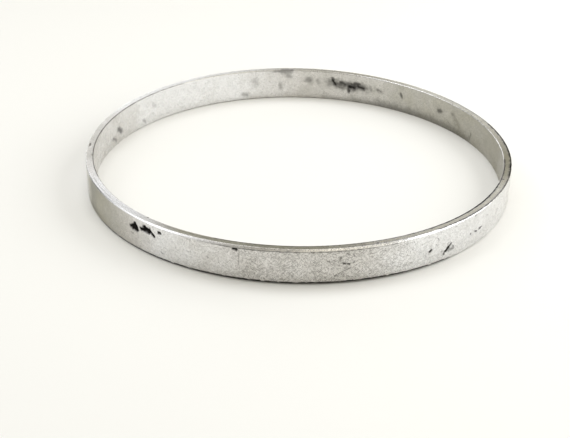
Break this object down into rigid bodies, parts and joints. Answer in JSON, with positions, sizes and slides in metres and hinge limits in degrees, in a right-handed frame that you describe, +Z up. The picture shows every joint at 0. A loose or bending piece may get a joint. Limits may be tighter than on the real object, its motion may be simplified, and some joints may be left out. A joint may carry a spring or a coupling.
{
  "type": "bangle bracelet",
  "caption": "Plain closed round bangle bent from flat metal strip, with upright faces, softened rim corners and a soldered butt joint.",
  "frame": {"origin": "centre of the ring, in the plane of the rim that it lies on", "axes": "+Z up along the ring's axis; -Y towards the side that carries the soldered joint, a little left of the middle"},
  "size_m": [0.068, 0.068, 0.0052],
  "materials": {
    "worn_silver": "worn satin silver, finely scratched all over, with small dark pits and tarnish inside",
    "silver_solder": "filed flush with the strip, slightly duller and warmer than it"
  },
  "bodies": {
    "root": {"band": "worn_silver", "seam_solder": "silver_solder"}
  },
  "joints": []
}
